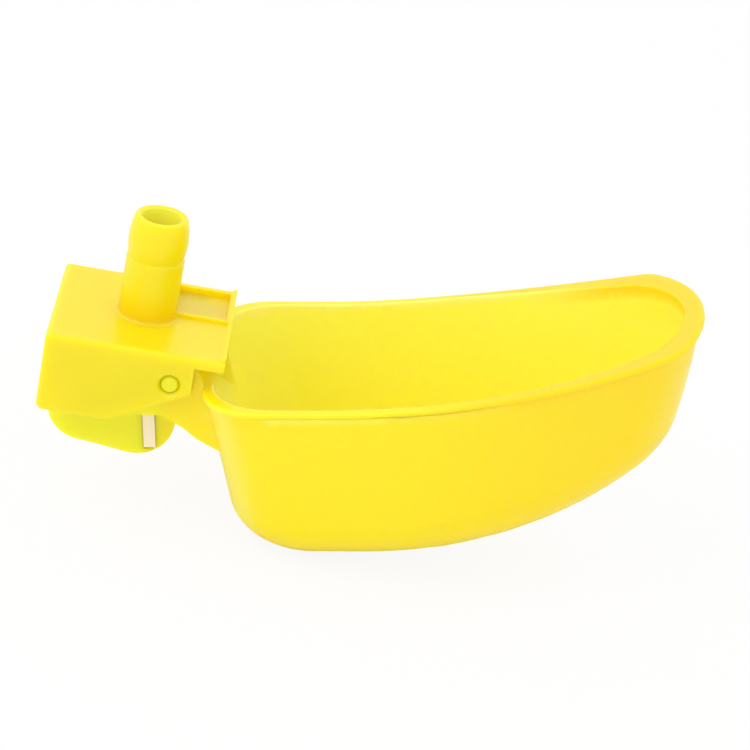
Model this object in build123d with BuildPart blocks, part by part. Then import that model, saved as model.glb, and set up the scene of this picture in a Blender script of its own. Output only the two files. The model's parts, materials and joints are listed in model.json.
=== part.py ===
from math import cos, radians, sin, sqrt, tan
import os

from build123d import *

# A hanging drinking cup for poultry, in millimetres.
# The origin is on the hose spigot's axis, in the top face of the valve housing. +X runs towards the
# cup's tip, +Y to the far side and +Z up along the spigot. The cup is modelled in a frame of its own,
# which is level with its rear rim and has its origin on the pivot, so one angle tips the whole cup.

# Valve housing
housing_back = 15.3
housing_front = 14.3
housing_half_width = 14.3
cheek_depth = 14.0
back_wall_depth = 9.5
plate_thickness = 1.7
cheek_wall = 1.6
cheek_toe = 4.6
cheek_front = 9.5
cheek_front_depth = 6.6
cheek_front_radius = 2.2
housing_edge_radius = 0.8
cheek_heel_radius = 1.2
cheek_toe_radius = 7.0
lip_height = 0.5
lip_width = 0.7
recess_back = 4.6
recess_near_side = 1.4
recess_front_margin = 1.0
recess_floor = 0.6

# Hose spigot
spigot_height = 17.9
spigot_foot_radius = 0.8
barrel_radius = 4.85
barrel_height = 10.3
waist_radius = 4.62
waist_height = 10.8
barb_radius = 4.98
barb_height = 13.7
mouth_radius = 4.3
spigot_bore_radius = 3.3
mouth_edge_radius = 0.4

# Valve nozzle, moulded with the plate
nozzle_radius = 2.3
nozzle_seat_radius = 1.7
nozzle_bore_radius = 1.1
nozzle_drop = 5.0
nozzle_bore_depth = 2.6
nozzle_chamfer_height = 0.6

# Pivot of the cup in the cheeks
pivot_x = 5.9
pivot_drop = 5.5
trunnion_radius = 1.5
pivot_running_clearance = 0.06
pivot_mouth_chamfer = 0.5
trunnion_end_gap = 0.15
trunnion_chamfer = 0.35
rest_tilt = 10.5
side_clearance = 0.4

# Bowl of the cup, measured level with its rear rim
rim_drop = 1.3
bowl_back = 6.6
bowl_half_width = 21.5
bowl_nose = 83.1
bowl_nose_half_width = 13.4
nose_depth = 6.5
shoulder = 40.0
bowl_depth = 31.2
wall = 1.5
back_draft = 7.5
side_draft = 8.0
nose_draft = 13.0
rear_corner_at_rim = 9.0
rear_flat_at_base = 1.8
nose_corner_at_rim = 9.0
nose_corner_at_base = 12.0
bottom_edge_radius = 9.5
bottom_rise_start = 31.0
bottom_rise_radius = 70.0
bottom_rise_angle = 60.0
rim_rise_start = 22.0
rim_rise_radius = 205.0
rim_inner_radius = 0.4
mould_margin = 2.5

# Lip round the rim: it stands out from the bowl by little at the sides and by most at the nose
lip_side_overhang = 0.15
lip_back_overhang = 0.15
lip_nose_overhang = 3.7
lip_nose_side_overhang = 2.3
lip_nose_depth = 6.0
lip_nose_corner = 6.0
lip_thickness = 1.2
lip_edge_radius = 0.45

# Arm of the cup: gussets, channel floor and tail pocket
gusset_thickness = 1.6
floor_drop = 6.4
floor_thickness = 1.4
gusset_back = 19.0
gusset_back_height = 1.9
gusset_level_length = 3.0
gusset_front = 5.0
chute_start = 2.0
chute_reach = 4.5
chute_angle = 32.0
stop_gap = 0.1
tail_back = 21.0
tail_front = 0.3
tail_half_width = 9.0
tail_wall = 1.4
tail_front_depth = 17.1
tail_slope = 14.9
tail_back_radius = 6.0
tail_front_radius = 7.0

# How far a selected edge or corner may lie from the place it is looked for
tolerance = 0.01

# Valve carrier, its pad and the spring
blade_x = 4.3
blade_thickness = 2.0
blade_depth = 14.2
blade_fit = 0.05
blade_foot_height = 6.8
blade_neck_half_width = 2.6
flow_hole_radius = 1.6
head_radius = 3.9
head_thickness = 2.6
pad_radius = 2.4
pad_thickness = 1.5
pad_stand_out = 0.45
pad_fit = 0.05
seat_gap = 0.05
spring_wire_radius = 0.25
spring_radius = 3.1
spring_turns = 3.5
spring_end_gap = 0.05
spring_seat_inner_radius = 3.5
spring_seat_wall = 0.5
spring_seat_height = 0.6

tilt = radians(rest_tilt)
pivot = (pivot_x, 0, -pivot_drop)
along_cup = (cos(tilt), 0, sin(tilt))
cup_level = Plane(origin=pivot, x_dir=along_cup, z_dir=(-sin(tilt), 0, cos(tilt)))
cup_side = Plane(origin=pivot, x_dir=along_cup, z_dir=(0, -1, 0))
housing_side = Plane(origin=(0, 0, 0), x_dir=(1, 0, 0), z_dir=(0, -1, 0))

cheek_inner = housing_half_width - cheek_wall
gusset_outer = cheek_inner - side_clearance
gusset_inner = gusset_outer - gusset_thickness
channel_floor = -floor_drop + floor_thickness
pivot_hole_radius = trunnion_radius + pivot_running_clearance
lip_nose = bowl_nose + lip_nose_overhang
chute_end = bowl_back + chute_reach
os.makedirs("parts", exist_ok=True)


def boat_outline(back, half_width, nose, nose_half_width, nose_reach, rear_radius, nose_radius):
    """Plan of the cup: a square back with round corners, sides that draw in on arcs past the
    shoulder, and a blunt nose on one arc."""
    corner = nose - nose_reach
    with BuildSketch() as outline:
        with BuildLine():
            Line((back, -half_width), (back, half_width))
            Line((back, half_width), (shoulder, half_width))
            TangentArc((shoulder, half_width), (corner, nose_half_width), tangent=(1, 0))
            ThreePointArc((corner, nose_half_width), (nose, 0), (corner, -nose_half_width))
            TangentArc((shoulder, -half_width), (corner, -nose_half_width), tangent=(1, 0))
            Line((shoulder, -half_width), (back, -half_width))
        make_face()
        fillet(outline.vertices().group_by(Axis.X)[0], rear_radius)
        nose_corners = outline.vertices().filter_by(lambda v: abs(v.X - corner) < tolerance)
        fillet(nose_corners, nose_radius)
    return outline.sketch


def bowl_outline(height, inset, rear_radius, nose_radius):
    """Plan of the bowl's wall at a height over the pivot, drafted in from the rear rim's level."""
    drop = -rim_drop - height
    return boat_outline(
        bowl_back + drop * tan(radians(back_draft)) + inset,
        bowl_half_width - drop * tan(radians(side_draft)) - inset,
        bowl_nose - drop * tan(radians(nose_draft)) - inset,
        bowl_nose_half_width - drop * tan(radians(side_draft)) - inset,
        nose_depth,
        rear_radius - inset,
        nose_radius - inset,
    )


def rim_height(x):
    """Height of the rim over the pivot: level at the rear, then on one arc that bends up."""
    reach = max(x - rim_rise_start, 0)
    return -rim_drop + rim_rise_radius - sqrt(rim_rise_radius**2 - reach**2)


def over_rim(point):
    """How far a point lies over the rim's surface."""
    local = cup_level.to_local_coords(point)
    return local.Z - rim_height(local.X)


mould_top = rim_height(lip_nose) + mould_margin
mould_base = rim_drop + bowl_depth + mould_margin
base_half_width = bowl_half_width - (mould_base - rim_drop) * tan(radians(side_draft))
rear_corner_at_base = base_half_width - rear_flat_at_base


def arc_point(start, radius, angle):
    """A point on an arc that leaves start level and bends up."""
    bend = radians(angle)
    return (start[0] + radius * sin(bend), start[1] + radius * (1 - cos(bend)))


def below_rim(drop):
    """Side profile of all that lies at least drop lower than the rim."""
    end = lip_nose + mould_margin
    middle = (rim_rise_start + end) / 2
    with BuildSketch() as profile:
        with BuildLine():
            Polyline(
                (end, rim_height(end) - drop),
                (end, -mould_base),
                (0, -mould_base),
                (0, -rim_drop - drop),
                (rim_rise_start, -rim_drop - drop),
            )
            ThreePointArc(
                (rim_rise_start, -rim_drop - drop),
                (middle, rim_height(middle) - drop),
                (end, rim_height(end) - drop),
            )
        make_face()
    return profile.sketch


def bowl_form(inset):
    """The bowl as a solid that is open upwards past the rim: the drafted plan, cut to the bottom's
    side profile, with a round bottom edge."""
    base_left = (0, -rim_drop - bowl_depth + inset)
    base = (bottom_rise_start, base_left[1])
    rise = bottom_rise_radius - inset
    rise_middle = arc_point(base, rise, bottom_rise_angle / 2)
    rise_end = arc_point(base, rise, bottom_rise_angle)
    run_out = (mould_top - rise_end[1]) / tan(radians(bottom_rise_angle))
    with BuildPart() as form:
        with BuildSketch(cup_level.offset(mould_top)):
            add(bowl_outline(mould_top, inset, rear_corner_at_rim, nose_corner_at_rim))
        with BuildSketch(cup_level.offset(-mould_base)):
            add(bowl_outline(-mould_base, inset, rear_corner_at_base, nose_corner_at_base))
        loft(ruled=True)
        with BuildSketch(cup_side):
            with BuildLine():
                Line(base_left, base)
                ThreePointArc(base, rise_middle, rise_end)
                Polyline(rise_end, (rise_end[0] + run_out, mould_top), (0, mould_top), base_left)
            make_face()
        extrude(amount=2 * bowl_half_width, both=True, mode=Mode.INTERSECT)
        underside = [face for face in form.faces() if face.normal_at().dot(-cup_level.z_dir) > 0.5]
        bottom_edges = [
            edge for edge in form.edges() if sum(edge in face.edges() for face in underside) == 1
        ]
        fillet(bottom_edges, bottom_edge_radius - inset)
    return form.part


def lip_form():
    """The lip as a plate over the whole bowl: the wider plan, kept in a band under the rim and
    rounded at its outer edges."""
    with BuildPart() as plate:
        with BuildSketch(cup_level.offset(-rim_drop - lip_thickness)):
            add(
                boat_outline(
                    bowl_back - lip_back_overhang,
                    bowl_half_width + lip_side_overhang,
                    lip_nose,
                    bowl_nose_half_width + lip_nose_side_overhang,
                    lip_nose_depth,
                    rear_corner_at_rim,
                    lip_nose_corner,
                )
            )
        extrude(amount=mould_top + rim_drop + lip_thickness)
        with BuildSketch(cup_side):
            add(below_rim(0))
        extrude(amount=2 * bowl_half_width, both=True, mode=Mode.INTERSECT)
        with BuildSketch(cup_side):
            add(below_rim(lip_thickness))
        extrude(amount=2 * bowl_half_width, both=True, mode=Mode.SUBTRACT)
        outer_edges = plate.edges().filter_by(
            lambda edge: abs(abs(over_rim(edge @ 0.5) + lip_thickness / 2) - lip_thickness / 2) < tolerance
            and abs(cup_level.to_local_coords(edge @ 0.5).X - rim_rise_start) > tolerance
        )
        fillet(outer_edges, lip_edge_radius)
    return plate.part


def tail_outline(inset, top):
    """Side profile of the tail pocket: a sloping bottom between two large round corners."""
    back = -tail_back + inset
    front = tail_front - inset
    lift = inset / cos(radians(tail_slope)) - inset * tan(radians(tail_slope))
    front_depth = -tail_front_depth + lift
    back_depth = front_depth + (front - back) * tan(radians(tail_slope))
    with BuildSketch() as outline:
        with BuildLine():
            FilletPolyline(
                (back, top),
                (back, back_depth),
                (front, front_depth),
                (front, top),
                radius=[tail_back_radius - inset, tail_front_radius - inset],
            )
            Line((front, top), (back, top))
        make_face()
    return outline.sketch


with BuildPart() as valve_housing:
    with BuildSketch(housing_side) as valve_housing_side:
        with BuildLine():
            Polyline(
                (-housing_back, 0),
                (-housing_back, -cheek_depth),
                (-cheek_toe, -cheek_depth),
                (cheek_front, -cheek_front_depth),
                (cheek_front, -plate_thickness),
                (housing_front, -plate_thickness),
                (housing_front, 0),
                close=True,
            )
        make_face()
        cheek_heel = valve_housing_side.vertices().group_by(Axis.Y)[0].sort_by(Axis.X)[0]
        cheek_toe_corner = valve_housing_side.vertices().group_by(Axis.Y)[0].sort_by(Axis.X)[-1]
        cheek_corner = valve_housing_side.vertices().filter_by(
            lambda v: abs(v.X - cheek_front) < tolerance and v.Y < -plate_thickness - tolerance
        )
        fillet(cheek_heel, cheek_heel_radius)
        fillet(cheek_toe_corner, cheek_toe_radius)
        fillet(cheek_corner, cheek_front_radius)
    extrude(amount=housing_half_width, both=True)
    outer_edges = valve_housing.edges().filter_by(
        lambda edge: (edge @ 0.5).X < -housing_back + tolerance
        or ((edge @ 0.5).Z > -tolerance and (edge @ 0.5).X < housing_front - tolerance)
    )
    fillet(outer_edges, housing_edge_radius)
    with BuildSketch(housing_side):
        with Locations((-housing_back + cheek_wall, -plate_thickness)):
            Rectangle(
                housing_back + housing_front,
                cheek_depth,
                align=(Align.MIN, Align.MAX),
            )
    extrude(amount=cheek_inner, both=True, mode=Mode.SUBTRACT)
    with BuildSketch(housing_side):
        with Locations((-housing_back, -back_wall_depth)):
            Rectangle(2 * cheek_wall, cheek_depth, align=(Align.CENTER, Align.MAX))
    extrude(amount=cheek_inner, both=True, mode=Mode.SUBTRACT)

    # Recess in the far half of the plate, with a raised lip on three sides
    recess_length = housing_front - recess_front_margin - recess_back
    recess_width = cheek_inner - recess_near_side
    with BuildSketch(Plane.XY):
        with Locations((recess_back - lip_width, recess_near_side - lip_width)):
            Rectangle(
                recess_length + lip_width + recess_front_margin,
                recess_width + lip_width,
                align=(Align.MIN, Align.MIN),
            )
    extrude(amount=lip_height)
    with BuildSketch(Plane.XY.offset(lip_height)):
        with Locations((recess_back, recess_near_side)):
            Rectangle(recess_length, recess_width, align=(Align.MIN, Align.MIN))
    extrude(amount=recess_floor - lip_height - plate_thickness, mode=Mode.SUBTRACT)
    with BuildSketch(Plane.XY):
        with Locations((housing_front, 0)):
            Rectangle(
                lip_width,
                2 * (housing_half_width - housing_edge_radius),
                align=(Align.MAX, Align.CENTER),
            )
    extrude(amount=lip_height)

    # Spigot and nozzle, turned about the inlet's axis
    with BuildSketch(Plane.XZ):
        with BuildLine():
            foot = (barrel_radius + spigot_foot_radius, 0)
            barrel_foot = (barrel_radius, spigot_foot_radius)
            waist = (waist_radius, waist_height)
            barb = (barb_radius, barb_height)
            mouth = (mouth_radius, spigot_height)
            TangentArc(foot, barrel_foot, tangent=(-1, 0))
            Polyline(barrel_foot, (barrel_radius, barrel_height), waist)
            TangentArc(barb, waist, tangent=(0, -1))
            TangentArc(barb, mouth, tangent=(0, 1))
            Polyline(mouth, (0, spigot_height), (0, 0), foot)
        make_face()
    revolve(axis=Axis.Z)
    with BuildSketch(Plane.XZ):
        with BuildLine():
            Polyline(
                (0, -plate_thickness / 2),
                (nozzle_radius, -plate_thickness / 2),
                (nozzle_radius, -nozzle_drop + nozzle_chamfer_height),
                (nozzle_seat_radius, -nozzle_drop),
                (0, -nozzle_drop),
                close=True,
            )
        make_face()
    revolve(axis=Axis.Z)
    with BuildSketch(Plane.XY.offset(-plate_thickness - spring_seat_height)):
        Circle(spring_seat_inner_radius + spring_seat_wall)
        Circle(spring_seat_inner_radius, mode=Mode.SUBTRACT)
    extrude(amount=spring_seat_height)
    with BuildSketch(Plane.XZ):
        with BuildLine():
            Polyline(
                (0, spigot_height),
                (spigot_bore_radius, spigot_height),
                (spigot_bore_radius, -plate_thickness / 3),
                (nozzle_bore_radius, -nozzle_bore_depth),
                (nozzle_bore_radius, -nozzle_drop),
                (0, -nozzle_drop),
                close=True,
            )
        make_face()
    revolve(axis=Axis.Z, mode=Mode.SUBTRACT)
    mouth_edges = valve_housing.edges().filter_by(GeomType.CIRCLE).group_by(Axis.Z)[-1]
    fillet(mouth_edges, mouth_edge_radius)

    # Pivot holes, opened out at their outer mouths
    with BuildSketch(Plane.XZ):
        with Locations((pivot_x, -pivot_drop)):
            Circle(pivot_hole_radius)
    extrude(amount=housing_half_width, both=True, mode=Mode.SUBTRACT)
    pivot_mouths = (
        valve_housing.edges()
        .filter_by(GeomType.CIRCLE)
        .filter_by(lambda edge: abs(edge.radius - pivot_hole_radius) < tolerance)
        .group_by(Axis.Y)
    )
    chamfer(pivot_mouths[0] + pivot_mouths[-1], pivot_mouth_chamfer)
valve_housing.part.label = "valve_housing"
export_step(valve_housing.part, "parts/valve_housing.step")

# The gussets' front corners stop against the plate when the cup is tipped up
stop_height = (pivot_drop - plate_thickness - stop_gap - gusset_front * sin(tilt)) / cos(tilt)
chute_fall = tan(radians(chute_angle))
chute_lift = floor_thickness / cos(radians(chute_angle))
outer_bowl = bowl_form(0)
inner_bowl = bowl_form(wall)
lip = lip_form()

with BuildPart() as drinking_cup:
    add(outer_bowl)
    with BuildSketch(cup_side):
        add(below_rim(lip_thickness))
    extrude(amount=2 * bowl_half_width, both=True, mode=Mode.INTERSECT)
    add(lip)
    add(inner_bowl, mode=Mode.SUBTRACT)
    inner_rim = drinking_cup.edges(Select.LAST).filter_by(
        lambda edge: abs(over_rim(edge @ 0.5)) < tolerance
    )
    fillet(inner_rim, rim_inner_radius)

    # Gussets, with the channel floor and the chute between them, all carried through the bowl's
    # rear wall before the hollow is cut once more
    with BuildSketch(cup_side):
        with BuildLine():
            Polyline(
                (-gusset_back, -floor_drop),
                (-chute_start, -floor_drop),
                (chute_end, -floor_drop - (chute_end + chute_start) * chute_fall),
                (chute_end, -rim_drop - lip_thickness),
                (bowl_back, -rim_drop),
                (gusset_front, stop_height),
                (-gusset_level_length, stop_height),
                (-gusset_back, gusset_back_height - floor_drop + floor_thickness),
                close=True,
            )
        make_face()
    extrude(amount=gusset_outer, both=True)
    with BuildSketch(cup_side):
        with BuildLine():
            Polyline(
                (-tail_back, -floor_drop),
                (-tail_back, channel_floor),
                (-chute_start, channel_floor),
                (-chute_start, -floor_drop),
                close=True,
            )
        make_face()
    extrude(amount=tail_half_width, both=True)
    with BuildSketch(cup_side):
        add(tail_outline(0, -floor_drop))
    extrude(amount=tail_half_width, both=True)
    add(inner_bowl, mode=Mode.SUBTRACT)

    # Hollows: the channel with its notch into the bowl, and the tail pocket
    chute_top_end = -floor_drop - (chute_end + chute_start) * chute_fall + chute_lift
    with BuildSketch(cup_side):
        with BuildLine():
            Polyline(
                (-gusset_back - tail_wall, channel_floor),
                (-chute_start + floor_thickness * tan(radians(chute_angle / 2)), channel_floor),
                (chute_end, chute_top_end),
                (chute_end, mould_top),
                (-gusset_back - tail_wall, mould_top),
                close=True,
            )
        make_face()
    extrude(amount=gusset_inner, both=True, mode=Mode.SUBTRACT)
    with BuildSketch(cup_side):
        add(tail_outline(tail_wall, channel_floor + tail_wall))
    extrude(amount=tail_half_width - tail_wall, both=True, mode=Mode.SUBTRACT)

    # Slots that hold the ends of the valve carrier
    with BuildSketch(cup_side):
        with Locations((-blade_x, -blade_depth)):
            Rectangle(
                blade_thickness + 2 * blade_fit,
                blade_depth - floor_drop + 2 * floor_thickness,
                align=(Align.CENTER, Align.MIN),
            )
    extrude(amount=tail_half_width, both=True, mode=Mode.SUBTRACT)

    # Trunnions on the gussets' outer faces
    trunnion_length = cheek_wall + side_clearance - trunnion_end_gap
    for face_side in (-1, 1):
        with BuildSketch(Plane(origin=(pivot_x, face_side * gusset_outer, -pivot_drop),
                               x_dir=(1, 0, 0), z_dir=(0, face_side, 0))):
            Circle(trunnion_radius)
        extrude(amount=trunnion_length)
        new_faces = drinking_cup.faces(Select.LAST)
        trunnion_end = new_faces.sort_by(lambda face: face_side * face.center().Y)[-1]
        chamfer(trunnion_end.edges(), trunnion_chamfer)
drinking_cup.part.label = "drinking_cup"
export_step(drinking_cup.part, "parts/drinking_cup.step")

pad_top = pivot_drop - nozzle_drop - seat_gap
head_top = pad_top - pad_stand_out
nozzle_plane = cup_level.offset(head_top)
with BuildPart() as valve_carrier:
    with BuildSketch(nozzle_plane):
        with Locations((-pivot_x, 0)):
            Circle(head_radius)
    extrude(amount=-head_thickness)
    blade_top = head_top - head_thickness
    with BuildSketch(Plane(origin=cup_level.from_local_coords((-blade_x, 0, 0)),
                           x_dir=(0, 1, 0), z_dir=along_cup)):
        with BuildLine():
            foot = blade_top - head_thickness
            Polyline(
                (tail_half_width, -blade_depth + blade_fit),
                (tail_half_width, -blade_foot_height),
                (blade_neck_half_width, foot),
                (blade_neck_half_width, blade_top + head_thickness / 2),
                (-blade_neck_half_width, blade_top + head_thickness / 2),
                (-blade_neck_half_width, foot),
                (-tail_half_width, -blade_foot_height),
                (-tail_half_width, -blade_depth + blade_fit),
                close=True,
            )
        make_face()
        with Locations((0, -blade_depth + 2 * flow_hole_radius)):
            Circle(flow_hole_radius, mode=Mode.SUBTRACT)
    extrude(amount=blade_thickness / 2, both=True)
    with BuildSketch(nozzle_plane):
        with Locations((-pivot_x, 0)):
            Circle(pad_radius + pad_fit)
    extrude(amount=-(pad_thickness - pad_stand_out), mode=Mode.SUBTRACT)
valve_carrier.part.label = "valve_carrier"
export_step(valve_carrier.part, "parts/valve_carrier.step")

with BuildPart() as valve_pad:
    with BuildSketch(cup_level.offset(pad_top)):
        with Locations((-pivot_x, 0)):
            Circle(pad_radius)
    extrude(amount=-pad_thickness)
valve_pad.part.label = "valve_pad"
export_step(valve_pad.part, "parts/valve_pad.step")

# The spring hangs round the nozzle and presses on the tilted head's highest point
head_height = -pivot_drop - pivot_x * sin(tilt) + head_top * cos(tilt)
spring_top = -plate_thickness - spring_end_gap
spring_bottom = head_height + head_radius * sin(tilt) + spring_end_gap
spring_pitch = (spring_top - spring_bottom - 2 * spring_wire_radius) / spring_turns
with BuildPart() as opening_spring:
    with BuildLine():
        coil = Helix(
            spring_pitch,
            spring_pitch * spring_turns,
            spring_radius,
            center=(0, 0, spring_bottom + spring_wire_radius),
        )
    with BuildSketch(Plane(origin=coil @ 0, z_dir=coil % 0)):
        Circle(spring_wire_radius)
    sweep(is_frenet=True)
opening_spring.part.label = "opening_spring"
export_step(opening_spring.part, "parts/opening_spring.step")
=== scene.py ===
import json
from math import cos, radians, sin

import bpy
import numpy as np
from mathutils import Matrix, Vector


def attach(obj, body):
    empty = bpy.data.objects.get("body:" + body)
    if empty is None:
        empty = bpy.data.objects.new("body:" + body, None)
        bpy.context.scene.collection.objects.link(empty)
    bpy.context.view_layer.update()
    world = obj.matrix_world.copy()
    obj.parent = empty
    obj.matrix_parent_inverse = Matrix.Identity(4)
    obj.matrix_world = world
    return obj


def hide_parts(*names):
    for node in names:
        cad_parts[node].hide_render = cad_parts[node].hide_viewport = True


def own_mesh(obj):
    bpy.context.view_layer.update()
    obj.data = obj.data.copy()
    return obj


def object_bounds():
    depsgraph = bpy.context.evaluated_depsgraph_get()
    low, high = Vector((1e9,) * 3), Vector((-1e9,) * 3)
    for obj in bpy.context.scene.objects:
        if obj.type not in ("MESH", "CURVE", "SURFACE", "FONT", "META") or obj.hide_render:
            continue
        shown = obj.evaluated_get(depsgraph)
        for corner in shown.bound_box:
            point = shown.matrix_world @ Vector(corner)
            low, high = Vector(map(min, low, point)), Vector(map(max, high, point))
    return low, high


# A yellow drinking cup for poultry on a plain white stage. Lengths are in metres, in the model's own
# frame: the origin is on the hose spigot's axis in the housing's top face, with +X towards the tip.

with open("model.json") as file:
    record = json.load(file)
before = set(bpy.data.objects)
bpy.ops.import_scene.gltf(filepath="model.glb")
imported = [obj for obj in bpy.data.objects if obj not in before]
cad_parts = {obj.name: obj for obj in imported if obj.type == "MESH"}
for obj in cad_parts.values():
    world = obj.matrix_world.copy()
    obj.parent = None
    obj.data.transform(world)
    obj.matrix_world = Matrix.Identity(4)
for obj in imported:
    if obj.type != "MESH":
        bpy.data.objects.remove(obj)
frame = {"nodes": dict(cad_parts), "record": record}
cad_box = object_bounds()

# Camera, close to where the photograph was taken from
camera_elevation = radians(26.33)
camera_roll = radians(11.28)
camera_yaw = radians(3.31)
camera_distance = 0.500
camera_right = 0.03803
camera_down = 0.01043
camera_lens = 143.9
camera_sensor = 36.0

# Stage and light
floor_drop = 0.0005
floor_size = 6.0
floor_grey = (0.9, 0.9, 0.9, 1)
floor_glow_share = 0.9
paper_white = (1.0, 1.0, 1.0, 1.0)
world_strength = 1.0
key_place = (-0.45, -0.35, 0.6)
key_target = (0.03, 0, 0)
key_size = 0.5
key_watts = 1.3

# Plastics: the plain yellows, and yellows of painted light and painted shade
yellow = (1.0, 0.74, 0.005, 1.0)
# Painted shade round the spigot's foot
foot_painted_shade_yellow = (1.0, 0.64, 0.002, 1.0)
outside_yellow = (1.0, 0.77, 0.005, 1.0)
# Painted shade towards the nose
nose_painted_shade_yellow = (1.0, 0.725, 0.002, 1.0)
# Painted light inside the bowl
inside_painted_light_yellow = (1.0, 0.865, 0.09, 1.0)
# Painted light inside the bowl's rear, also used in the bore
inside_rear_painted_light_yellow = (1.0, 0.89, 0.12, 1.0)
# Painted shade on the lip
lip_painted_shade_yellow = (1.0, 0.65, 0.001, 1.0)
# Painted highlight on the rim and on the outside of the rear wall
rim_painted_highlight_yellow = (1.0, 0.88, 0.22, 1.0)
# Painted light on the tail and the pins' ends
tail_painted_light_yellow = (1.0, 0.87, 0.015, 1.0)
# Painted shadow of the spigot on the recess's floor
recess_painted_shadow_yellow = (1.0, 0.68, 0.07, 1.0)
housing_translucency = 0.0025
cup_translucency = 0.0022

# Places of the colours and of the painted light and shade: the recess (painted shadow), the spigot's foot
# (painted shade) and bore (painted light), the pins' ends (painted light), and stretches of x
recess_back = 0.0049
recess_front = 0.0133
recess_near_side = 0.0014
recess_far_side = 0.0125
recess_bottom = -0.0013
foot_painted_shade_height = 0.006
bore_radius = 0.0034
pin_start = 0.0132
pin_front = 0.009
tail_painted_light_fade = (0.002, 0.007)
inside_painted_light_fade = (0.015, 0.040)
nose_painted_shade_fade = (0.035, 0.078)

# How far the cup is drawn out from the solid, in the cup's level frame
rear_push = 0.0012
nose_push = 0.0007
nose_bulge = 0.0018
nose_drop = 0.0015
nose_narrowing = 0.05
nose_skew = 0.06
lip_skew = 0.04
tail_drop = 0.0004
rim_rise_start = 0.022
rim_rise_radius = 0.205
rim_drop_below_pivot = 0.0013
nose_range = (0.040, 0.083)
rear_rise = (0.0015, 0.0055)
rear_fade = (0.008, 0.028)
tail_rise = (-0.016, -0.002)
tail_end = (0.002, 0.005)
tail_depth = (0.006, 0.012)
bulge_depth = 0.006
drop_depth = 0.014

# Grain of the cup's refined mesh
longest_edge = 0.0025
refining_rounds = 4


class Signal:
    """A socket of a shader's node tree. Arithmetic on it adds Math nodes to the tree."""

    def __init__(self, tree, socket=None):
        self.tree = tree
        self.socket = socket

    def node(self, kind, settings=None, sockets=None, output=0):
        """Adds a node, makes its settings, gives its sockets values or links, and returns an output."""
        made = self.tree.nodes.new(kind)
        for name, value in (settings or {}).items():
            setattr(made, name, value)
        for name, value in (sockets or {}).items():
            if isinstance(value, Signal):
                self.tree.links.new(value.socket, made.inputs[name])
            else:
                made.inputs[name].default_value = value
        return Signal(self.tree, made.outputs[output] if made.outputs else None)

    def maths(self, operation, first, second):
        return self.node("ShaderNodeMath", {"operation": operation}, {0: first, 1: second})

    def __add__(self, other):
        return self.maths("ADD", self, other)

    __radd__ = __add__

    def __mul__(self, other):
        return self.maths("MULTIPLY", self, other)

    __rmul__ = __mul__

    def __sub__(self, other):
        return self.maths("SUBTRACT", self, other)

    def __rsub__(self, other):
        return self.maths("SUBTRACT", other, self)

    def __gt__(self, other):
        return self.maths("GREATER_THAN", self, other)

    def __lt__(self, other):
        return self.maths("LESS_THAN", self, other)


def blank_material(name):
    """A material with an empty node tree, and the tree as a Signal to build from."""
    material = bpy.data.materials.new(name)
    material.use_nodes = True
    material.node_tree.nodes.clear()
    return material, Signal(material.node_tree)


def finish_material(start, shader):
    start.node("ShaderNodeOutputMaterial", sockets={"Surface": shader})


def paint(node, material):
    """Gives a CAD node's mesh one material in every slot."""
    for slot in frame["nodes"][node].material_slots:
        slot.material = material


def moulded_yellow(name, depth, colour):
    """Glossy, slightly translucent polyethylene with the faint orange peel of a moulded surface."""
    material, start = blank_material(name)
    place = start.node("ShaderNodeTexCoord", output="Object")
    peel = start.node("ShaderNodeTexNoise", sockets={"Vector": place, "Scale": 260.0, "Detail": 2.0})
    bump = start.node("ShaderNodeBump", sockets={"Strength": 0.04, "Distance": 0.0002, "Height": peel})
    shader = start.node(
        "ShaderNodeBsdfPrincipled",
        sockets={
            "Base Color": colour(start),
            "Roughness": 0.33,
            "IOR": 1.5,
            "Specular IOR Level": 0.4,
            "Subsurface Weight": 1.0,
            "Subsurface Radius": (1.0, 0.9, 0.1),
            "Subsurface Scale": depth,
            "Normal": bump,
        },
    )
    finish_material(start, shader)
    return material


def mixed(start, share, first, second):
    """A colour between two, by a share from 0 to 1."""
    return start.node("ShaderNodeMix", {"data_type": "RGBA"}, {0: share, 6: first, 7: second}, output=2)


def place_on(start):
    """The point's three coordinates."""
    place = start.node("ShaderNodeTexCoord", output="Object")
    parts = start.node("ShaderNodeSeparateXYZ", sockets={0: place})
    return [Signal(start.tree, output) for output in parts.socket.node.outputs]


def share_over(value, low, high):
    """0 where the value is low, 1 where it is high, and a smooth rise between."""
    settings = {"interpolation_type": "SMOOTHSTEP"}
    return value.node("ShaderNodeMapRange", settings, {0: value, 1: low, 2: high})


def housing_colour_with_painted_light_and_shade(start):
    """Yellow, with painted shade round the spigot's foot, a painted shadow of the spigot on the recess's
    floor and painted light in the bore.
    """
    x, y, z = place_on(start)
    radius = start.maths("SQRT", x * x + y * y, 0)
    # Painted shade: the yellow deepens round the spigot's foot, low on the barrel.
    foot = (1 - share_over(radius, 0.0050, 0.0066)) * (1 - share_over(z, 0.001, foot_painted_shade_height))
    foot = foot * (z > 0.0004)
    # Painted shadow of the spigot on the recess's floor.
    recess = (x > recess_back) * (x < recess_front) * (y > recess_near_side) * (y < recess_far_side)
    recess = recess * (z > recess_bottom)
    # Painted light in the bore, which would otherwise lie in shade.
    bore = (radius < bore_radius) * share_over(z, 0.004, 0.016)
    colour = mixed(start, foot * 0.8, yellow, foot_painted_shade_yellow)
    colour = mixed(start, recess, colour, recess_painted_shadow_yellow)
    return mixed(start, bore, colour, inside_rear_painted_light_yellow)


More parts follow.
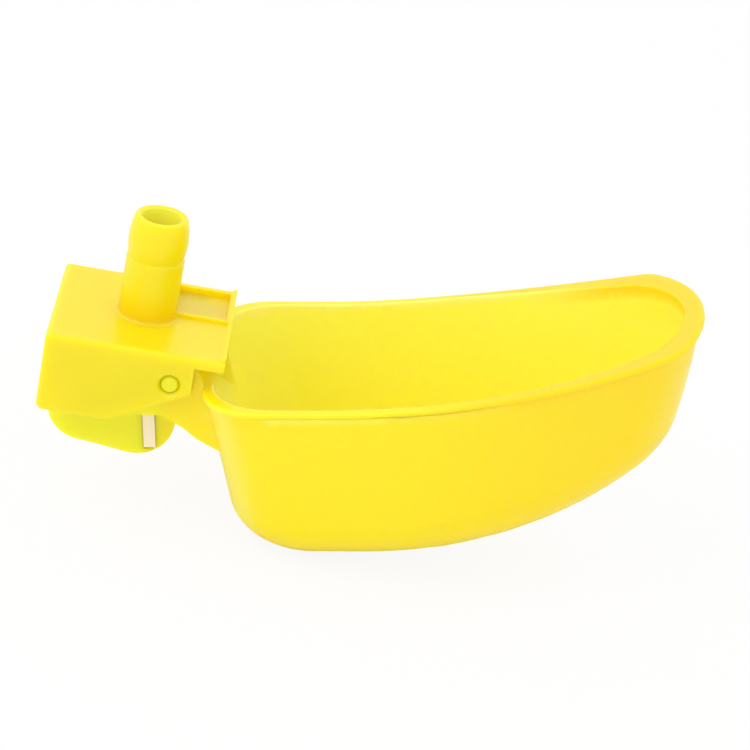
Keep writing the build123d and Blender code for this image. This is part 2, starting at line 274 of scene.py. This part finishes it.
def cup_colour_with_painted_light_and_shade(start):
    """Yellow outside, with painted shade deeper to the nose and on the lip, and painted light in the bowl,
    tail and pins.

    It is palest, as a painted highlight, along the rim's inner edge and on the outside of the rear wall.
    """
    x, y, _ = place_on(start)
    inside = start.node("ShaderNodeAttribute", {"attribute_name": "inside"}, output=2)
    rim = start.node("ShaderNodeAttribute", {"attribute_name": "rim"}, output=2)
    lip = start.node("ShaderNodeAttribute", {"attribute_name": "lip"}, output=2)
    # Painted shade: the outside deepens towards the nose.
    outside = mixed(start, share_over(x, *nose_painted_shade_fade), outside_yellow, nose_painted_shade_yellow)
    # Painted light: the bowl's inside is lighter, most of all at the rear.
    hollow = mixed(start, share_over(x, *inside_painted_light_fade), inside_rear_painted_light_yellow, inside_painted_light_yellow)
    walls = mixed(start, inside, outside, hollow)
    # Painted light on the pins' ends and the tail, which lie in the housing's shade.
    pin = (y * y > pin_start * pin_start) * (x < pin_front)
    tail = pin.maths("MAXIMUM", pin, 1 - share_over(x, *tail_painted_light_fade))
    walls = mixed(start, tail, walls, tail_painted_light_yellow)
    # Painted highlight along the rim, over the painted shade on the lip.
    return mixed(start, rim, mixed(start, lip, walls, lip_painted_shade_yellow), rim_painted_highlight_yellow)


def ease(share):
    """0 below 0, 1 above 1, and a smooth step between: 3 s^2 - 2 s^3."""
    s = np.clip(share, 0, 1)
    return s * s * (3 - 2 * s)


def rise(value, low, high):
    """The ease of how far the value has come from low to high."""
    return ease((value - low) / (high - low))


def merged_copy(node):
    """A node's mesh with its loose triangles joined at their corners: points, triangles and normals."""
    mesh = frame["nodes"][node].data
    points = np.empty(len(mesh.vertices) * 3)
    mesh.vertices.foreach_get("co", points)
    corners = np.empty(len(mesh.loops), dtype=int)
    mesh.loops.foreach_get("vertex_index", corners)
    normals = np.empty(len(mesh.loops) * 3)
    mesh.corner_normals.foreach_get("vector", normals)
    points = points.reshape(-1, 3)
    steps = np.round(points * 1e7).astype(np.int64)
    _, first, shared = np.unique(steps, axis=0, return_index=True, return_inverse=True)
    triangles = shared.reshape(-1)[corners].reshape(-1, 3)
    solid = (triangles != np.roll(triangles, 1, axis=1)).all(axis=1)
    return points[first], triangles[solid], normals.reshape(-1, 3, 3)[solid]


def new_piece(name, points, triangles, normals, material):
    """An object at the origin, from points, triangles and each triangle's three normals."""
    mesh = bpy.data.meshes.new(name)
    mesh.from_pydata(points.tolist(), [], triangles.tolist())
    mesh.normals_split_custom_set(normals.reshape(-1, 3).tolist())
    mesh.materials.append(material)
    piece = bpy.data.objects.new(name, mesh)
    bpy.context.scene.collection.objects.link(piece)
    return piece


def refined(points, triangles, normals, longest):
    """Splits every edge longer than longest at its middle, which is lifted onto the curved surface.

    The middle is projected onto the two ends' tangent planes, and three quarters of the mean of the two
    lifts is taken. An edge whose two sides have different normals is sharp, and is split where it is.
    """
    ends = np.stack([triangles, np.roll(triangles, -1, axis=1)], axis=2).reshape(-1, 2)
    start_normal = normals.reshape(-1, 3)
    end_normal = np.roll(normals, -1, axis=1).reshape(-1, 3)
    turned = ends[:, 0] > ends[:, 1]
    low_normal = np.where(turned[:, None], end_normal, start_normal)
    high_normal = np.where(turned[:, None], start_normal, end_normal)
    edges, shared = np.unique(np.sort(ends, axis=1), axis=0, return_inverse=True)
    shared = shared.reshape(-1)
    both = np.hstack([low_normal, high_normal])
    least = np.full((len(edges), 6), 2.0)
    most = np.full((len(edges), 6), -2.0)
    np.minimum.at(least, shared, both)
    np.maximum.at(most, shared, both)
    smooth = (most - least).max(axis=1) < 0.05
    a = points[edges[:, 0]]
    b = points[edges[:, 1]]
    middle = (a + b) / 2
    lift_a = (((middle - a) * most[:, :3]).sum(axis=1))[:, None] * most[:, :3]
    lift_b = (((middle - b) * most[:, 3:]).sum(axis=1))[:, None] * most[:, 3:]
    middle -= smooth[:, None] * 0.75 * (lift_a + lift_b) / 2
    long = np.linalg.norm(a - b, axis=1) > longest
    number = np.cumsum(long) - 1 + len(points)
    split = long[shared].reshape(-1, 3)
    made = number[shared].reshape(-1, 3)
    between = start_normal + end_normal
    between = (between / (np.linalg.norm(between, axis=1)[:, None] + 1e-12)).reshape(-1, 3, 3)

    # Each triangle is turned so that a lone split side comes first, and a lone whole side last.
    count = split.sum(axis=1)
    first = np.where(count == 1, split.argmax(axis=1), 0)
    first = np.where(count == 2, (np.argmin(split, axis=1) + 1) % 3, first)
    order = (first[:, None] + np.arange(3)) % 3
    rows = np.arange(len(triangles))[:, None]
    corner = np.hstack([triangles[rows, order], made[rows, order]])
    normal = np.concatenate([normals[rows, order], between[rows, order]], axis=1)
    patterns = {
        0: [(0, 1, 2)],
        1: [(0, 3, 2), (3, 1, 2)],
        2: [(3, 1, 4), (0, 3, 4), (0, 4, 2)],
        3: [(0, 3, 5), (3, 1, 4), (5, 4, 2), (3, 4, 5)],
    }
    new_triangles = []
    new_normals = []
    for sides, pattern in patterns.items():
        for three in pattern:
            new_triangles.append(corner[count == sides][:, three])
            new_normals.append(normal[count == sides][:, three])
    return np.vstack([points, middle[long]]), np.vstack(new_triangles), np.vstack(new_normals)


def stretched(points, pivot, lengthwise, upwards):
    """Moves points of the cup from the solid's outline to the photograph's.

    It is worked out in the cup's level frame: x runs along the rim from the pivot, and the depth is
    measured down from the rim, which rises towards the nose on an arc. The rear wall moves back by
    rear_push, with a share that rises over rear_rise and fades over rear_fade. The nose, with a share
    that rises over nose_range, moves on by nose_push, and below the rim by nose_bulge more. It also
    moves on by nose_skew times the distance to the near side, sinks by nose_drop at depth, and
    narrows by the share nose_narrowing. The lip is skewed by lip_skew more. The tail's floor sinks by
    tail_drop, with a share that rises over tail_rise along x and tail_depth downwards, and fades over
    tail_end. The new points and their depths come back.
    """
    x = (points - pivot) @ lengthwise
    y = points[:, 1]
    z = (points - pivot) @ upwards
    run = np.maximum(x - rim_rise_start, 0)
    rim_line = rim_rise_radius - np.sqrt(rim_rise_radius**2 - run**2) - rim_drop_below_pivot
    depth = rim_line - z
    nose = rise(x, *nose_range)
    rear = rise(x, *rear_rise) * (1 - rise(x, *rear_fade))
    below = rise(depth, 0, bulge_depth)
    skew = nose_skew + lip_skew * (1 - below)
    x_new = x - rear_push * rear + nose * (nose_push + nose_bulge * below - skew * y)
    y_new = y * (1 - nose_narrowing * nose * below)
    tail = rise(x, *tail_rise) * (1 - rise(x, *tail_end)) * rise(depth, *tail_depth)
    z_new = z - nose_drop * nose * rise(depth, 0, drop_depth) - tail_drop * tail
    moved = pivot + np.outer(x_new, lengthwise) + np.outer(z_new, upwards)
    moved[:, 1] = y_new
    return moved, depth


def drawn_out_cup():
    """The cup, with its bowl drawn out to the photograph's outline, and the masks of its colours."""
    joint = frame["record"]["behaviour"]["joints"][0]
    pivot = np.array(joint["pos_m"])
    tilt = radians(joint["range_deg"][1])
    lengthwise = np.array([cos(tilt), 0, sin(tilt)])
    upwards = np.array([-sin(tilt), 0, cos(tilt)])
    points, triangles, normals = merged_copy("drinking_cup")
    for _ in range(refining_rounds):
        points, triangles, normals = refined(points, triangles, normals, longest_edge)
    moved, depth = stretched(points, pivot, lengthwise, upwards)

    # The normals turn with the surface: they are multiplied by the inverse transpose of its stretch.
    step = 1e-5
    columns = [
        (stretched(points + step * direction, pivot, lengthwise, upwards)[0] - moved) / step
        for direction in np.eye(3)
    ]
    turn = np.linalg.inv(np.stack(columns, axis=2))
    normals = np.einsum("tcji,tcj->tci", turn[triangles], normals)
    normals /= np.linalg.norm(normals, axis=2)[:, :, None]

    # The masks that place the painted light and shade, from the depth below the rim and from the way that
    # the surface faces: towards the bowl's middle is inwards across the cup, back at the nose and forwards
    # at the rear wall.
    x = (points - pivot) @ lengthwise
    y = points[:, 1]
    facing = np.zeros_like(points)
    np.add.at(facing, triangles.ravel(), normals.reshape(-1, 3))
    facing /= np.linalg.norm(facing, axis=1)[:, None] + 1e-12
    along = facing @ lengthwise
    towards_middle = -facing[:, 1] * np.sign(y) * (np.abs(y) > 0.004)
    towards_middle -= along * rise(x, 0.055, 0.075)
    towards_middle += along * (1 - rise(x, 0.012, 0.022))
    upturned = facing @ upwards
    in_bowl = rise(x, 0.0055, 0.0065) * rise(depth, 0, 0.0008)
    # Where the painted light inside the bowl goes.
    inside = in_bowl * ease(np.maximum(towards_middle, upturned) * 3)
    # Where the painted highlight along the rim's inner edge goes.
    rim = rise(x, 0.0055, 0.0075) * (1 - rise(depth, 0.0003, 0.0007))
    rim = rim * ease((towards_middle - 0.15) * 4) * (1 - rise(x, 0.055, 0.075))
    # Where the painted shade on the lip goes, towards the nose.
    lip = rise(x, 0.030, 0.060) * (1 - rise(depth, 0.0010, 0.0016)) * (1 - rim)
    # Painted highlight on the outside of the rear wall, half as strong as the rim's.
    rear_wall_painted_highlight = in_bowl * (x < 0.014) * (1 - inside) * ease((-along - 0.4) * 2)
    rim = np.maximum(rim, 0.5 * rear_wall_painted_highlight)

    cup = new_piece("cup_shell", moved, triangles, normals, cup_yellow)
    # The attributes carry painted light (inside), a painted highlight (rim) and painted shade (lip) to the
    # material.
    for name, values in (("inside", inside), ("rim", rim), ("lip", lip)):
        cup.data.attributes.new(name, "FLOAT", "POINT").data.foreach_set("value", values)
    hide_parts("drinking_cup")
    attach(cup, "cup")


def pressed_spring():
    """The opening spring, a steel copy of the modelled one on the housing. The real spring shortens towards
    its seat as the carrier's head rises under it.
    """
    points, triangles, normals = merged_copy("opening_spring")
    spring = new_piece("coil_spring", points, triangles, normals, spring_steel)
    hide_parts("opening_spring")
    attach(spring, "housing")
    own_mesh(spring)


def small_part_material(name, colour, dark_colour, roughness, grain, metallic=0.0):
    """A fine mottle between two close colours, with the same grain in its gloss and its surface."""
    material, start = blank_material(name)
    place = start.node("ShaderNodeTexCoord", output="Object")
    mottle = start.node("ShaderNodeTexNoise", sockets={"Vector": place, "Scale": grain, "Detail": 3.0})
    bump = start.node("ShaderNodeBump", sockets={"Strength": 0.08, "Distance": 0.0001, "Height": mottle})
    shader = start.node(
        "ShaderNodeBsdfPrincipled",
        sockets={
            "Base Color": mixed(start, mottle, colour, dark_colour),
            "Roughness": roughness + mottle * 0.12,
            "Metallic": metallic,
            "Normal": bump,
        },
    )
    finish_material(start, shader)
    return material


housing_yellow = moulded_yellow("housing_yellow", housing_translucency, housing_colour_with_painted_light_and_shade)
cup_yellow = moulded_yellow("cup_yellow", cup_translucency, cup_colour_with_painted_light_and_shade)
paint("valve_housing", housing_yellow)
paint("drinking_cup", cup_yellow)
drawn_out_cup()
pale_nylon = small_part_material("pale_nylon", (0.97, 0.87, 0.65, 1), (0.92, 0.81, 0.58, 1), 0.4, 900)
black_rubber = small_part_material("black_rubber", (0.04, 0.04, 0.04, 1), (0.02, 0.02, 0.02, 1), 0.55, 1500)
spring_steel = small_part_material("steel", (0.68, 0.68, 0.7, 1), (0.5, 0.5, 0.52, 1), 0.2, 2500, 1.0)
paint("valve_carrier", pale_nylon)
paint("valve_pad", black_rubber)
paint("opening_spring", spring_steel)
pressed_spring()


def white_stage():
    """A floor that shows nearly plain white to the camera and still takes the object's shadow."""
    lowest = cad_box[0].z - floor_drop
    half = floor_size / 2
    mesh = bpy.data.meshes.new("floor")
    corners = [(-half, -half, lowest), (half, -half, lowest), (half, half, lowest), (-half, half, lowest)]
    mesh.from_pydata(corners, [], [(0, 1, 2, 3)])
    floor = bpy.data.objects.new("floor", mesh)
    bpy.context.scene.collection.objects.link(floor)
    material, start = blank_material("white_paper")
    seen = start.node("ShaderNodeLightPath", output="Is Camera Ray")
    diffuse = start.node("ShaderNodeBsdfDiffuse", sockets={"Color": floor_grey})
    glow = start.node("ShaderNodeEmission", sockets={"Color": paper_white, "Strength": 1.0})
    share = seen * floor_glow_share
    surface = start.node("ShaderNodeMixShader", sockets={0: share, 1: diffuse, 2: glow})
    finish_material(start, surface)
    mesh.materials.append(material)


def white_world():
    """A plain white surrounding, which lights the object evenly."""
    world = bpy.data.worlds.new("studio")
    bpy.context.scene.world = world
    world.use_nodes = True
    world.node_tree.nodes.clear()
    start = Signal(world.node_tree)
    seen = start.node("ShaderNodeLightPath", output="Is Camera Ray")
    lit = start.node("ShaderNodeBackground", sockets={"Color": paper_white, "Strength": world_strength})
    shown = start.node("ShaderNodeBackground", sockets={"Color": paper_white, "Strength": 1.0})
    surface = start.node("ShaderNodeMixShader", sockets={0: seen, 1: lit, 2: shown})
    start.node("ShaderNodeOutputWorld", sockets={"Surface": surface})


def area_lamp(name, place, target, size, watts):
    """A round soft lamp that is aimed at a point."""
    light = bpy.data.lights.new(name, "AREA")
    light.shape = "DISK"
    light.size = size
    light.energy = watts
    lamp = bpy.data.objects.new(name, light)
    lamp.location = place
    lamp.rotation_mode = "QUATERNION"
    lamp.rotation_quaternion = (Vector(target) - Vector(place)).to_track_quat("-Z", "Y")
    bpy.context.scene.collection.objects.link(lamp)


def photo_camera():
    """The camera. Its pose is fitted to the photograph's outline, together with the cup's drawing out."""
    ahead = Vector((
        sin(camera_yaw) * cos(camera_elevation),
        cos(camera_yaw) * cos(camera_elevation),
        -sin(camera_elevation),
    ))
    level = Vector((cos(camera_yaw), -sin(camera_yaw), 0))
    upright = level.cross(ahead)
    right = cos(camera_roll) * level + sin(camera_roll) * upright
    up = cos(camera_roll) * upright - sin(camera_roll) * level
    place = camera_right * right - camera_down * up - camera_distance * ahead
    data = bpy.data.cameras.new("photo_camera")
    data.lens = camera_lens
    data.sensor_width = camera_sensor
    camera = bpy.data.objects.new("photo_camera", data)
    turn = Matrix((right, up, -ahead)).transposed().to_4x4()
    camera.matrix_world = Matrix.Translation(place) @ turn
    bpy.context.scene.collection.objects.link(camera)
    bpy.context.scene.camera = camera


white_stage()
white_world()
area_lamp("key", key_place, key_target, key_size, key_watts)
photo_camera()
bpy.context.scene.view_settings.view_transform = "Standard"
